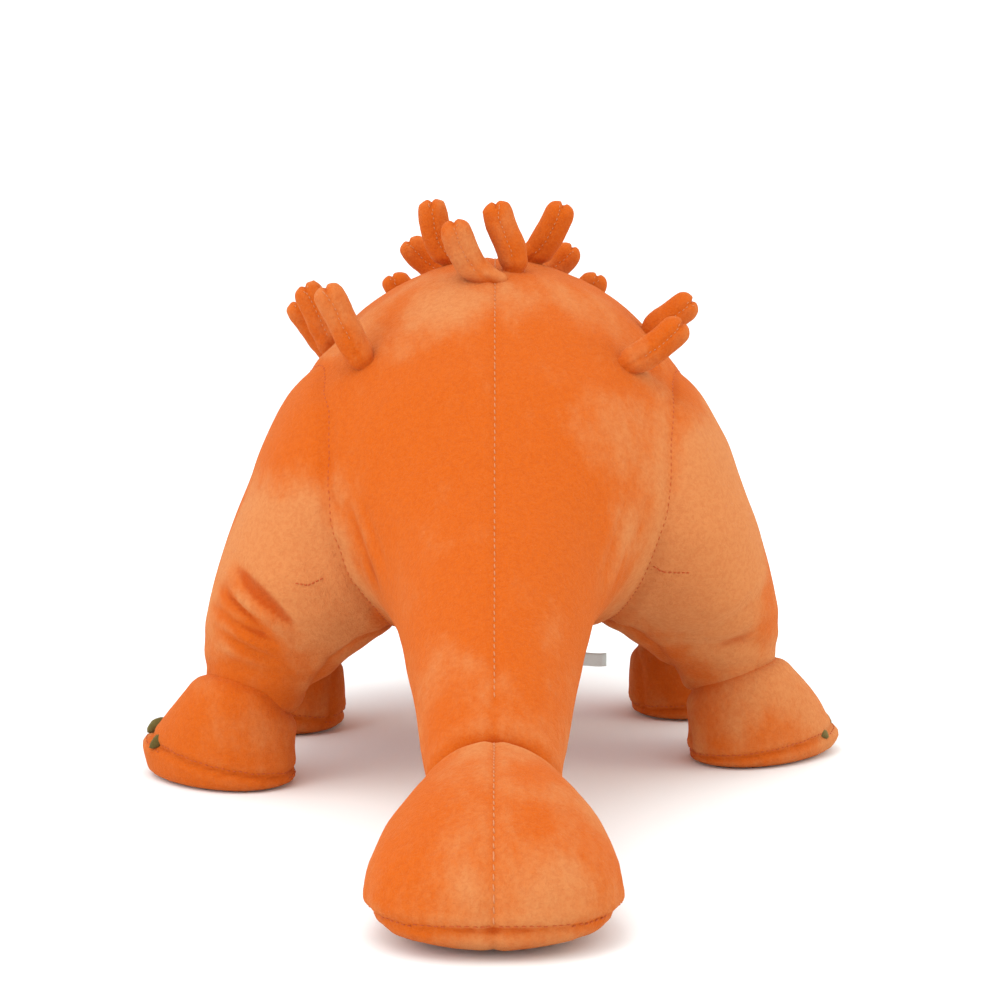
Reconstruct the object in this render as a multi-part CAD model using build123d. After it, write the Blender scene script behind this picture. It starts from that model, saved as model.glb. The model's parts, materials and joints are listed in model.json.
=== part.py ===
from build123d import *
import os
from math import atan2, cos, degrees, hypot, radians, sin

# Stuffed club-tailed dinosaur, standing on four soles and its tail club.
# Millimetres. +Z is up, the head points to -Y and the toy's own left side is +X.
# The origin is on the floor, under the middle of the toy's width and length.

os.makedirs("parts", exist_ok=True)

# ---------------------------------------------------------------- driving dimensions
FABRIC = 3.0            # plush fabric with its pile
GAP = 0.2               # between pieces of one body
CLEAR = 0.5             # between moving bodies

# Torso stations: (y, top z, bottom z, half width)
TORSO = [
    (-221, 171, 81, 45),
    (-205, 198, 72, 66),
    (-175, 226, 67, 86),
    (-135, 248, 66, 99),
    (-85, 262, 66, 106),
    (-40, 256, 66, 107),
    (0, 236, 66, 101),
    (35, 210, 65, 86),
    (80, 176, 64, 64),
]
BELLY_SEAM_Z = 92       # height of the seam between belly and back panels

# Neck and head
NECK_PIVOT = (-215, 126)        # (y, z)
NECK_RADIUS = 40
HEAD_PIVOT = (-243, 126)
NAPE_RADIUS = 35
NAPE_RELIEF = 9                 # the head starts this far in front of its pivot
HEAD = [
    (-252, 126, 43, 38),        # (y, centre z, half width, half height)
    (-262, 125, 51, 42),
    (-277, 122, 54, 43),
    (-295, 116, 47, 38),
    (-312, 108, 36, 29),
    (-323, 104, 24, 19),
    (-329, 102, 10, 8),
]
HEAD_SEAM_Z = 106
MOUTH_CORNER_Y = -298
EYE_RADIUS = 6.5
EYE_PLACE = (43, -293, 129)
EYE_FACING = (1.0, -0.45, 0.35)
WASHER_RADIUS = 8.0

# Tail: pivots (y, z) and radii there
TAIL_PIVOT = (56, 128)
TAIL_RADIUS = 58
SWING_PIVOT = (126, 84)
SWING_RADIUS = 45
CLUB_PIVOT = (211, 42)
CREASE_RADIUS = 29
TAIL_RELIEF = 6                 # how far each parent stops short of the pivot
SWING_RELIEF = 12
CREASE_RELIEF = 14
TAIL_LIP_TILT = 8               # degrees, the torso leaves room above the tail
CLUB = [
    (228, 38, 38, 32),          # (y, centre z, half width, half height)
    (248, 34, 48, 35.5),
    (270, 31, 53, 34),
    (293, 29.5, 52, 31.5),
    (312, 27.5, 41, 25),
    (324, 26, 25, 15),
    (329, 25.5, 10, 6),
]
CLUB_SEAM_Z = 13

# Legs: hip height and radius, haunch width, ankle, foot
STANCE_REAR = 12        # the left thighs sit this far back, the right ones as far forward
STANCE_FRONT = 8
STRIDE_REAR = 12        # and the feet stand this much further apart, the left ones back
STRIDE_FRONT = 10
REAR_LEG = dict(
    hip_y=-39, hip_z=128, hip_radius=74, inner_x=60, rim_x=80, outer_x=132,
    shin=[(122, 98, 32, 40), (100, 104, 36, 44), (78, 108, 37.5, 41), (62, 110, 35, 38), (44, 118, 29, 33)],
    foot_x=135, foot_shift=8, toe_out=45, foot_length=45, foot_width=36, stance=STANCE_REAR, stride=STRIDE_REAR,
)
FRONT_LEG = dict(
    hip_y=-178, hip_z=98, hip_radius=50, inner_x=58, rim_x=72, outer_x=112,
    shin=[(104, 88, 26, 34), (84, 91, 28, 36), (66, 96, 28, 34), (44, 104, 26, 31)],
    foot_x=113, foot_shift=-8, toe_out=20, foot_length=42, foot_width=34, stance=STANCE_FRONT, stride=STRIDE_FRONT,
)
INNER_LEG_TOP_Z = 63    # just under the belly
ANKLE_Z = 46
SOLE_Z = 11             # height of the seam round the sole
CLAW_ANGLES = (-66, -22, 22, 66)
CLAW_RADIUS = 6.5
CLAW_LENGTH = 15

# Spikes: name -> (x, y, lean towards +X in degrees, length)
SPIKE_BASE_RADIUS = 7.6
SPIKE_TIP_RADIUS = 6.8
SPIKES = {
    "back_spike_1_left": (8.6, -34, 45, 36),
    "back_spike_1_right": (-8.6, -46, 31, 39),
    "back_spike_2_left": (8.6, -84, 55, 46),
    "back_spike_2_right": (-8.6, -84, -56, 43),
    "back_spike_3_left": (8.6, -129, 80, 50),
    "back_spike_3_right": (-8.6, -129, -84, 44),
    "back_spike_4_left": (24, -163, 78, 46),
    "back_spike_4_right": (-24, -163, -78, 46),
    "side_spike_1_left": (73.5, 2, 28, 42),
    "side_spike_1_right": (-73.5, 2, -56, 38),
    "side_spike_2_left": (92, -59, 30, 38),
    "side_spike_2_right": (-80, -59, -72, 38),
    "side_spike_3_left": (88, -112, 40, 40),
    "side_spike_3_right": (-88, -112, -55, 40),
}
SPIKE_SWEEP = 8         # degrees that each spike leans towards the tail

LABEL_SIZE = (22, 0.8, 20)
LABEL_PLACE = (-46, 14, 58)
FAR = 1000              # larger than the whole toy
SMALLEST_SOLID = 4      # cubic millimetres, less is a crumb left by cutting


# ---------------------------------------------------------------- shape helpers
def block(x0, x1, y0, y1, z0, z1):
    """Box from corner to corner."""
    size = Box(x1 - x0, y1 - y0, z1 - z0)
    return Pos((x0 + x1) / 2, (y0 + y1) / 2, (z0 + z1) / 2) * size


def above(z):
    return block(-FAR, FAR, -FAR, FAR, z, FAR)


def below(z):
    return block(-FAR, FAR, -FAR, FAR, -FAR, z)


def on_side(side, x=0.0):
    """Everything further out than x on the left (+1) or right (-1) side."""
    if side > 0:
        return block(x, FAR, -FAR, FAR, -FAR, FAR)
    return block(-FAR, -x, -FAR, FAR, -FAR, FAR)


def behind(pivot, direction, shift=0.0):
    """Half space on the far side of a plane through pivot, across direction (both y, z)."""
    length = hypot(*direction)
    along = (direction[0] / length, direction[1] / length)
    origin = (0, pivot[0] + shift * along[0], pivot[1] + shift * along[1])
    plane = Plane(origin=origin, x_dir=(1, 0, 0), z_dir=(0, along[0], along[1]))
    return plane * Pos(0, 0, FAR / 2) * Box(FAR, FAR, FAR)


def oval(y, z, half_width, half_height, direction=(1, 0)):
    plane = Plane(origin=(0, y, z), x_dir=(1, 0, 0), z_dir=(0, *direction))
    return Wire.make_ellipse(half_width, half_height, plane)


def skin_over(stations, inset=0.0):
    """Smooth closed body through upright ovals (y, centre z, half width, half height)."""
    wires = []
    for y, z, half_width, half_height in stations:
        wires.append(oval(y, z, half_width - inset, half_height - inset))
    return Solid.make_loft(wires)


def tapered_tube(start, end, start_radius, end_radius, inset=0.0, extra=0.0):
    """Cone frustum from one (y, z) point to another, a little longer at both ends if asked."""
    run = (end[0] - start[0], end[1] - start[1])
    length = hypot(*run)
    plane = Plane(origin=(0, *start), x_dir=(1, 0, 0), z_dir=(0, run[0] / length, run[1] / length))
    slope = (end_radius - start_radius) / length
    low = start_radius - inset - extra * slope
    high = end_radius - inset + extra * slope
    frustum = Cone(low, high, length + 2 * extra, align=(Align.CENTER, Align.CENTER, Align.MIN))
    return plane * Pos(0, 0, -extra) * frustum


def ball(pivot, radius):
    return Pos(0, *pivot) * Sphere(radius)


def finger(base, direction, base_radius, tip_radius, length):
    """Round-ended tapered finger; base is the centre of its round bottom end."""
    rise = length - base_radius - tip_radius
    half = sin(radians(45))
    bottom = ThreePointArc((0, -base_radius), (base_radius * half, -base_radius * half), (base_radius, 0))
    flank = Line((base_radius, 0), (tip_radius, rise))
    crown = (tip_radius * half, rise + tip_radius * half)
    top = ThreePointArc((tip_radius, rise), crown, (0, rise + tip_radius))
    middle = Line((0, rise + tip_radius), (0, -base_radius))
    outline = Wire([bottom.edge(), flank.edge(), top.edge(), middle.edge()])
    turned = Rot(90, 0, 0) * Face(outline)
    return Plane(origin=base, z_dir=direction) * revolve(turned, Axis.Z, 360)


def solids_of(shape):
    """Solids of a shape, largest first, without crumbs left by cutting."""
    found = sorted(shape.solids(), key=lambda solid: solid.volume, reverse=True)
    return [solid for solid in found if solid.volume > SMALLEST_SOLID]


def write(name, *shapes):
    """Write one node, made of one or more separate solids."""
    solids = [solid for shape in shapes for solid in solids_of(shape)]
    export_step(solids[0] if len(solids) == 1 else Compound(solids), f"parts/{name}.step")
    print(f"{name}: {len(solids)} solid(s)")


# ---------------------------------------------------------------- legs
def haunch(leg, inset=0.0):
    """Round thigh, turned about the sideways axis of the hip, lying along +X."""
    radius = leg["hip_radius"] - inset
    rim = leg["rim_x"]
    bulge = leg["outer_x"] - inset - rim
    middle = (radius * cos(radians(45)), rim + bulge * sin(radians(45)))
    outline = Wire([
        Line((0, leg["inner_x"]), (radius, leg["inner_x"])).edge(),
        Line((radius, leg["inner_x"]), (radius, rim)).edge(),
        Spline([(radius, rim), middle, (0, rim + bulge)], tangents=[(0, 1), (-1, 0)]).edge(),
        Line((0, rim + bulge), (0, leg["inner_x"])).edge(),
    ])
    upright = revolve(Rot(90, 0, 0) * Face(outline), Axis.Z, 360)
    return Pos(0, leg["hip_y"], leg["hip_z"]) * Rot(0, 90, 0) * upright


def shin(leg, inset=0.0, stretch=0.0):
    """Lower leg from inside the thigh to the ankle, leaning with the stride."""
    wires = []
    stations = [list(station) for station in leg["shin"]]
    stations[-1][0] -= stretch
    for z, x, half_x, half_y in stations:
        lean = leg["lean"] * (leg["hip_z"] - z) / (leg["hip_z"] - ANKLE_Z)
        plane = Plane(origin=(x, leg["hip_y"] + lean, z), x_dir=(1, 0, 0), z_dir=(0, 0, 1))
        wires.append(Wire.make_ellipse(half_x - inset, half_y - inset, plane))
    return Solid.make_loft(wires)


def foot_middle(leg):
    """Where along the body the middle of the foot stands, before the stance shift."""
    return leg["hip_y"] - leg["foot_shift"] + leg["lean"]


def foot(leg, inset=0.0, floor=0.0):
    """Round foot, its toes turned outwards, from the floor to the ankle."""
    stations = [            # (z, share of length, share of width, shift back towards the heel)
        (0.0, 0.80, 0.78, 0.0),
        (7.0, 0.97, 0.96, 0.0),
        (16.0, 1.0, 1.0, 0.0),
        (30.0, 0.90, 0.95, 3.0),
        (ANKLE_Z, 0.72, 0.86, 9.0),
    ]
    turn = leg["toe_out"]
    wires = []
    for z, long_share, wide_share, back in stations:
        toe = (sin(radians(turn)), -cos(radians(turn)), 0)
        origin = (leg["foot_x"] - back * toe[0], foot_middle(leg) - back * toe[1], z)
        plane = Plane(origin=origin, x_dir=toe, z_dir=(0, 0, 1))
        wires.append(Wire.make_ellipse(leg["foot_length"] * long_share - inset,
                                       leg["foot_width"] * wide_share - inset, plane))
    whole = Solid.make_loft(wires)
    return whole & above(floor) if floor else whole


def claws(leg, upper):
    """Toe claws round the front of the foot, let into the sole seam."""
    found = []
    for angle in CLAW_ANGLES:
        turn = leg["toe_out"] + angle
        out = (sin(radians(turn)), -cos(radians(turn)), 0)
        across = radians(angle)
        reach = 1 / hypot(cos(across) / leg["foot_length"], sin(across) / leg["foot_width"])
        start = reach - CLAW_LENGTH / 2 - 3
        base = (leg["foot_x"] + start * out[0], foot_middle(leg) + start * out[1], SOLE_Z + 2)
        cone = Cone(CLAW_RADIUS, 2.5, CLAW_LENGTH, align=(Align.CENTER, Align.CENTER, Align.MIN))
        found.append(solids_of(Plane(origin=base, z_dir=out) * cone - upper)[0])
    return found


def leg_pieces(leg, side):
    """The pieces of one leg, drawn on the +X side and before its stance shift."""
    leg = dict(leg, lean=side * leg["stride"])
    outside = haunch(leg) + shin(leg)
    inside = haunch(leg, FABRIC) + shin(leg, FABRIC, 1.0)
    wall = outside - inside
    split = leg["shin"][-1][1] - 10
    foot_outside = foot(leg)
    foot_inside = foot(leg, FABRIC, FABRIC)
    foot_wall = foot_outside - foot_inside
    stuffing = haunch(leg, FABRIC + GAP) + shin(leg, FABRIC + GAP, 1.0) - foot_wall
    stuffing = stuffing + foot(leg, FABRIC + GAP, FABRIC + GAP)
    upper_leg = wall & above(ANKLE_Z + GAP)
    return {
        "outer_panel": [solids_of(upper_leg & on_side(1, split))[0]],
        "inner_panel": [solids_of(upper_leg & block(0, split - GAP, -FAR, FAR, 0, INNER_LEG_TOP_Z))[0]],
        "foot_upper": [foot_wall & above(SOLE_Z + GAP)],
        "sole": [foot_wall & below(SOLE_Z)],
        "claws": claws(leg, foot_outside),
        "stuffing": [stuffing],
    }


def hip_pocket(leg, side):
    """Room in the torso for a thigh to turn in."""
    pocket = Cylinder(leg["hip_radius"] + CLEAR, FAR, align=(Align.CENTER, Align.CENTER, Align.MIN))
    place = Pos(side * (leg["inner_x"] - CLEAR), leg["hip_y"] + side * leg["stance"], leg["hip_z"])
    return place * Rot(0, side * 90, 0) * pocket


for leg in (REAR_LEG, FRONT_LEG):
    for side, side_name in ((1, "left"), (-1, "right")):
        row = "rear" if leg is REAR_LEG else "front"
        for piece_name, shapes in leg_pieces(leg, side).items():
            placed = []
            for shape in shapes:
                own = shape if side > 0 else shape.mirror(Plane.YZ)
                placed.append(Pos(0, side * leg["stance"], 0) * own)
            write(f"{row}_{side_name}_{piece_name}", *placed)

# ---------------------------------------------------------------- torso
torso_stations = [(y, (top + low) / 2, half, (top - low) / 2) for y, top, low, half in TORSO]
torso_outside = skin_over(torso_stations)
tail_run = (SWING_PIVOT[0] - TAIL_PIVOT[0], SWING_PIVOT[1] - TAIL_PIVOT[1])
lip_angle = degrees(atan2(tail_run[1], tail_run[0])) + TAIL_LIP_TILT
lip_run = (cos(radians(lip_angle)), sin(radians(lip_angle)))
room = [
    behind(TAIL_PIVOT, lip_run, -TAIL_RELIEF),
    ball(TAIL_PIVOT, TAIL_RADIUS + CLEAR),
    behind(NECK_PIVOT, (-1, 0), 2.0),
    ball(NECK_PIVOT, NECK_RADIUS + CLEAR),
]
for leg in (REAR_LEG, FRONT_LEG):
    room += [hip_pocket(leg, 1), hip_pocket(leg, -1)]
torso_wall = torso_outside - skin_over(torso_stations, FABRIC)
torso_core = skin_over(torso_stations, FABRIC + GAP)
for space in room:
    torso_wall = torso_wall - space
    torso_core = torso_core - space

back_wall = torso_wall & above(BELLY_SEAM_Z)
write("back_panel_left", solids_of(back_wall & on_side(1, GAP / 2))[0])
write("back_panel_right", solids_of(back_wall & on_side(-1, GAP / 2))[0])
write("belly_panel", solids_of(torso_wall & below(BELLY_SEAM_Z - GAP))[0])
write("torso_stuffing", solids_of(torso_core)[0])
write("care_label", Pos(*LABEL_PLACE) * Box(*LABEL_SIZE) - torso_outside)


# ---------------------------------------------------------------- tail
def tail_length(start, end, start_radius, end_radius, relief):
    """Skin and stuffing of one length of tail, hollowed for the next one."""
    run = (end[0] - start[0], end[1] - start[1])
    tube = tapered_tube(start, end, start_radius, end_radius)
    wall = tube - tapered_tube(start, end, start_radius, end_radius, FABRIC, 2.0)
    root = ball(start, start_radius) - behind(start, run)
    core = tapered_tube(start, end, start_radius, end_radius, FABRIC + GAP) + root
    for space in (behind(end, run, -relief), ball(end, end_radius + CLEAR)):
        wall = wall - space
        core = core - space
    return wall, core


lengths = (
    ("tail_root", TAIL_PIVOT, SWING_PIVOT, TAIL_RADIUS, SWING_RADIUS, SWING_RELIEF),
    ("tail_tip", SWING_PIVOT, CLUB_PIVOT, SWING_RADIUS, CREASE_RADIUS, CREASE_RELIEF),
)
for name, start, end, start_radius, end_radius, relief in lengths:
    wall, core = tail_length(start, end, start_radius, end_radius, relief)
    write(f"{name}_panels", *[solids_of(wall & on_side(side, GAP / 2))[0] for side in (1, -1)])
    write(f"{name}_stuffing", solids_of(core)[0])

# ---------------------------------------------------------------- club
crease = (*CLUB_PIVOT, CREASE_RADIUS - 2, CREASE_RADIUS - 2)
club_outside = skin_over([crease] + CLUB)
club_wall = (club_outside - skin_over([crease] + CLUB, FABRIC)) & above(0)
club_floor = club_outside & block(-FAR, FAR, -FAR, FAR, 0, FABRIC)
club_core = skin_over([crease] + CLUB, FABRIC + GAP) & above(FABRIC + GAP)
club_root = ball(CLUB_PIVOT, CREASE_RADIUS) - behind(CLUB_PIVOT, (1, 0))
club_upper = club_wall & above(CLUB_SEAM_Z + GAP)
write("club_panel_left", solids_of(club_upper & on_side(1, GAP / 2))[0])
write("club_panel_right", solids_of(club_upper & on_side(-1, GAP / 2))[0])
write("club_base", solids_of((club_wall & below(CLUB_SEAM_Z)) + club_floor)[0])
write("club_stuffing", solids_of(club_core + club_root)[0])

# ---------------------------------------------------------------- neck
neck_tube = tapered_tube(NECK_PIVOT, HEAD_PIVOT, NECK_RADIUS, NAPE_RADIUS)
neck_core = tapered_tube(NECK_PIVOT, HEAD_PIVOT, NECK_RADIUS, NAPE_RADIUS, FABRIC + GAP)
neck_root = ball(NECK_PIVOT, NECK_RADIUS) - behind(NECK_PIVOT, (-1, 0))
nape = ball(HEAD_PIVOT, NAPE_RADIUS) & behind(HEAD_PIVOT, (-1, 0))
write("neck_sleeve", neck_tube - tapered_tube(NECK_PIVOT, HEAD_PIVOT, NECK_RADIUS, NAPE_RADIUS, FABRIC, 2.0))
write("neck_stuffing", neck_core + neck_root + nape)

# ---------------------------------------------------------------- head
head_outside = skin_over(HEAD)
head_socket = ball(HEAD_PIVOT, NAPE_RADIUS + CLEAR)


def eye_set(side):
    """Domed eye on a stem, and the washer that locks it from inside."""
    facing = Vector(side * EYE_FACING[0], EYE_FACING[1], EYE_FACING[2]).normalized()
    seat = Plane(origin=(side * EYE_PLACE[0], EYE_PLACE[1], EYE_PLACE[2]), z_dir=facing)
    dome = seat * Sphere(EYE_RADIUS)
    stem = seat * Cylinder(1.6, 13, align=(Align.CENTER, Align.CENTER, Align.MAX))
    disc = seat * Pos(0, 0, -10) * Cylinder(WASHER_RADIUS, 1.4)
    return dome + stem, disc - stem


def cheek_horn(side):
    horn = finger((side * 45, -266, 110), (side * 1.0, 0.25, -0.35), 8.0, 5.0, 28)
    return horn - head_outside


eyes = []
washers = []
for side in (1, -1):
    eye, washer = eye_set(side)
    eyes.append(eye)
    washers.append(washer)
mouth_band = block(-FAR, FAR, -FAR, MOUTH_CORNER_Y, HEAD_SEAM_Z - 5, HEAD_SEAM_Z - 3)
thread = (skin_over(HEAD, -1.0) - head_outside) & mouth_band
nostrils = []
for side in (1, -1):
    nostrils.append(Pos(side * 9, -322, 117) * Sphere(2.4) - head_outside)

head_wall = head_outside - skin_over(HEAD, FABRIC) - head_socket
nose = head_outside & block(-FAR, FAR, -FAR, HEAD[-1][0] + FABRIC, -FAR, FAR)
head_wall = head_wall + nose
nose_room = block(-FAR, FAR, -FAR, HEAD[-1][0] + FABRIC + GAP, -FAR, FAR)
head_core = skin_over(HEAD, FABRIC + GAP) - head_socket - nose_room
for fitting in eyes + washers:
    head_wall = head_wall - fitting
    head_core = head_core - fitting
write("head_crown", solids_of(head_wall & above(HEAD_SEAM_Z))[0])
write("head_chin", solids_of(head_wall & below(HEAD_SEAM_Z - GAP))[0])
write("head_stuffing", solids_of(head_core)[0])
write("eyes", *eyes)
write("eye_washers", *washers)
write("face_stitching", thread, *nostrils)
write("cheek_horns", cheek_horn(1), cheek_horn(-1))


# ---------------------------------------------------------------- spikes
def spike_seat(x, y, clearance):
    """Centre height at which a ball stands clear of the torso."""
    low, high = 200.0, 320.0
    for _ in range(24):
        middle = (low + high) / 2
        if torso_outside.distance_to(Vertex(x, y, middle)) < clearance:
            low = middle
        else:
            high = middle
    return high


for name, (x, y, lean, length) in SPIKES.items():
    z = spike_seat(x, y, SPIKE_BASE_RADIUS + CLEAR)
    direction = (sin(radians(lean)) * cos(radians(SPIKE_SWEEP)), sin(radians(SPIKE_SWEEP)),
                 cos(radians(lean)) * cos(radians(SPIKE_SWEEP)))
    write(name, finger((x, y, z), direction, SPIKE_BASE_RADIUS, SPIKE_TIP_RADIUS, length))
    print(f"{name} pivot {x} {y} {z:.2f}")
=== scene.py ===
# %% [markdown]
# A stuffed dinosaur is a family of closed cloth bags, each pumped full of fibre and sewn to its
# neighbours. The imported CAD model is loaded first: it fixes where every bag is and how it moves.
# This script then sews a soft skin round each of those plain solids.

# %% Load the fixed frame
import json
import math

import bmesh
import bpy
import numpy as np
from mathutils import Matrix, Vector, noise
from mathutils.bvhtree import BVHTree


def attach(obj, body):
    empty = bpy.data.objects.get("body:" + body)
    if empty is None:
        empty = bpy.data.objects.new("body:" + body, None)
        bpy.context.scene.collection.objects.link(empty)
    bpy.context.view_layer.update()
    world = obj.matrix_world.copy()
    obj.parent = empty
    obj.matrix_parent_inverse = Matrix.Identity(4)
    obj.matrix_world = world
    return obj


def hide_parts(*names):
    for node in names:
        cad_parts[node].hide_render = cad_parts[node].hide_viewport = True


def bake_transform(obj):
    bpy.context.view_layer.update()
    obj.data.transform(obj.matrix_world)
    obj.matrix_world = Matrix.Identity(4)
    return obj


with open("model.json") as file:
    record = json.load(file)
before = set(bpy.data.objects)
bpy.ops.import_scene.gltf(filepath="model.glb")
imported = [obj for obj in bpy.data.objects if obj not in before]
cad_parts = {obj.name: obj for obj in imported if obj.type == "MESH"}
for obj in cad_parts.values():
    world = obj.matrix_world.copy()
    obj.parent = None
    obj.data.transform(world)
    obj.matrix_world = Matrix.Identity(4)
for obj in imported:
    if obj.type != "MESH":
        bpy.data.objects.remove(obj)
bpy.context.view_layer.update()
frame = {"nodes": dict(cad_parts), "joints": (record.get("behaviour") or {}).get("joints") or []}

MM = 0.001
UP = Vector((0, 0, 1))
ACROSS = Vector((1, 0, 0))
LEFT, RIGHT = Vector((1, 0, 0)), Vector((-1, 0, 0))
MIDDLE = Vector((0, 0, 0))

# %% [markdown]
# The room is a plain pale floor with large soft lamps. Plush shows its shape through a soft fall-off
# of light, so the lamps are big and close, and one of them stands to the side to make a pale rim.

# %% Floor, lamps and camera
CAMERA_PLACE = Vector((-0.0025, 1.473, 0.3325))
CAMERA_TILT = math.radians(7.33)
LENS = 108.0


def lamp(name, place, aim, size, power, colour):
    """Round soft lamp that faces a point."""
    data = bpy.data.lights.new(name, "AREA")
    data.shape = "DISK"
    data.size = size
    data.energy = power
    data.color = colour
    lamp_object = bpy.data.objects.new(name, data)
    lamp_object.location = place
    lamp_object.rotation_euler = (Vector(aim) - Vector(place)).to_track_quat("-Z", "Y").to_euler()
    bpy.context.collection.objects.link(lamp_object)


def studio():
    bm = bmesh.new()
    bmesh.ops.create_grid(bm, x_segments=2, y_segments=2, size=6.0)
    mesh = bpy.data.meshes.new("floor")
    bm.to_mesh(mesh)
    bm.free()
    floor = bpy.data.objects.new("floor", mesh)
    bpy.context.collection.objects.link(floor)
    paint = bpy.data.materials.new("pale_floor")
    paint.use_nodes = True
    shader = paint.node_tree.nodes["Principled BSDF"]
    shader.inputs["Base Color"].default_value = (0.88, 0.93, 0.94, 1)
    shader.inputs["Roughness"].default_value = 0.9
    shader.inputs["Specular IOR Level"].default_value = 0.1
    mesh.materials.append(paint)
    world = bpy.data.worlds.new("studio")
    world.use_nodes = True
    world.node_tree.nodes["Background"].inputs["Color"].default_value = (1, 1, 1, 1)
    world.node_tree.nodes["Background"].inputs["Strength"].default_value = 1.4
    bpy.context.scene.world = world
    lamp("overhead", (0.35, 0.6, 1.6), (0, 0, 0.1), 1.1, 6.5, (1, 0.98, 0.94))
    lamp("right_rim", (-1.5, 0.15, 0.6), (0, 0, 0.12), 0.7, 3.5, (1, 0.98, 0.72))
    lamp("left_fill", (1.1, 1.2, 0.7), (0, 0, 0.1), 1.1, 6.5, (1, 0.99, 0.97))
    camera_data = bpy.data.cameras.new("camera")
    camera_data.lens = LENS
    camera_data.sensor_width = 36.0
    camera = bpy.data.objects.new("camera", camera_data)
    camera.location = CAMERA_PLACE
    camera.rotation_euler = (math.pi / 2 - CAMERA_TILT, 0, math.pi)
    bpy.context.collection.objects.link(camera)
    bpy.context.scene.camera = camera
    bpy.context.scene.view_settings.view_transform = "Standard"
    print("camera at", tuple(camera.location))


studio()

# %% [markdown]
# The cloth is short-pile plush. Its colour changes with the way the pile lies: stroked one way it
# looks deep and hot, stroked the other way pale. Each piece carries a nap value at every point that
# says how far it is stroked, with painted highlight on raised cloth, painted shade on sunk cloth and
# painted rim light on the right haunch mixed in, and a groove value that paints shade into seam
# grooves and fold valleys. The shader feathers the edges of the patches, adds a fine speckle for the
# fibre tips and a low bump for the pile. Sheen gives the soft edge of velvet.

# %% Plush cloth


def mixed(nodes, links, factor, first, second):
    """Colour mix node, factor from a socket, colours from sockets or plain tuples."""
    node = nodes.new("ShaderNodeMix")
    node.data_type = "RGBA"
    links.new(factor, node.inputs["Factor"])
    for socket, value in ((node.inputs[6], first), (node.inputs[7], second)):
        if isinstance(value, tuple):
            socket.default_value = (*value, 1)
        else:
            links.new(value, socket)
    return node.outputs[2]


def ramp(nodes, links, value, low, high, to_low=0.0, to_high=1.0, kind="SMOOTHSTEP"):
    node = nodes.new("ShaderNodeMapRange")
    node.interpolation_type = kind
    links.new(value, node.inputs["Value"])
    for key, number in (("From Min", low), ("From Max", high), ("To Min", to_low), ("To Max", to_high)):
        node.inputs[key].default_value = number
    return node.outputs["Result"]


def sum_of(nodes, links, first, second, factor=1.0):
    """first * factor + second."""
    node = nodes.new("ShaderNodeMath")
    node.operation = "MULTIPLY_ADD"
    links.new(first, node.inputs[0])
    node.inputs[1].default_value = factor
    links.new(second, node.inputs[2])
    return node.outputs["Value"]


def speckle(nodes, links, place, scale, detail, roughness=0.6, distortion=0.0):
    node = nodes.new("ShaderNodeTexNoise")
    links.new(place, node.inputs["Vector"])
    node.inputs["Scale"].default_value = scale
    node.inputs["Detail"].default_value = detail
    node.inputs["Roughness"].default_value = roughness
    node.inputs["Distortion"].default_value = distortion
    return node.outputs["Fac"]


def plush(name, deep, pale, dark, glow):
    """Short-pile plush: deep is against the nap, pale is with it, dark is fine grain and painted groove
    shade.
    """
    paint = bpy.data.materials.new(name)
    paint.use_nodes = True
    nodes, links = paint.node_tree.nodes, paint.node_tree.links
    shader = nodes["Principled BSDF"]
    place = nodes.new("ShaderNodeTexCoord").outputs["Object"]
    nap_and_light_node = nodes.new("ShaderNodeAttribute")
    nap_and_light_node.attribute_name = "nap"
    groove_shade_node = nodes.new("ShaderNodeAttribute")
    groove_shade_node.attribute_name = "groove"
    strokes = nodes.new("ShaderNodeMapping")
    links.new(place, strokes.inputs["Vector"])
    strokes.inputs["Scale"].default_value = (1.0, 0.5, 0.5)
    feather = speckle(nodes, links, strokes.outputs["Vector"], 260.0, 4.0, 0.65)
    cloud = speckle(nodes, links, strokes.outputs["Vector"], 48.0, 4.0, 0.6, 0.5)
    tips = speckle(nodes, links, place, 1500.0, 2.0, 0.7)
    tufts = speckle(nodes, links, place, 420.0, 3.0, 0.7)
    nap_and_light = sum_of(nodes, links, feather, nap_and_light_node.outputs["Fac"], 0.50)
    nap_and_light = sum_of(nodes, links, cloud, nap_and_light, 0.60)
    colour = mixed(nodes, links, ramp(nodes, links, nap_and_light, 0.62, 1.42), deep, pale)
    colour = mixed(nodes, links, ramp(nodes, links, tufts, 0.35, 0.62, 0.20, 0.0), colour, dark)
    colour = mixed(nodes, links, ramp(nodes, links, tips, 0.42, 0.7, 0.0, 0.2), colour, pale)
    # painted shade: cloth sunk into seam grooves and fold valleys is mixed towards the dark colour
    colour = mixed(nodes, links, ramp(nodes, links, groove_shade_node.outputs["Fac"], 0.25, 1.0, 0.0, 0.6),
                   colour, dark)
    links.new(colour, shader.inputs["Base Color"])
    shader.inputs["Roughness"].default_value = 0.95
    shader.inputs["Specular IOR Level"].default_value = 0.08
    shader.inputs["Sheen Weight"].default_value = 0.22
    shader.inputs["Sheen Roughness"].default_value = 0.4
    shader.inputs["Sheen Tint"].default_value = (*glow, 1)
    height = sum_of(nodes, links, tufts, tips, 1.8)
    bump = nodes.new("ShaderNodeBump")
    bump.inputs["Strength"].default_value = 0.6
    bump.inputs["Distance"].default_value = 0.0007
    links.new(height, bump.inputs["Height"])
    links.new(bump.outputs["Normal"], shader.inputs["Normal"])
    return paint


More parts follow.
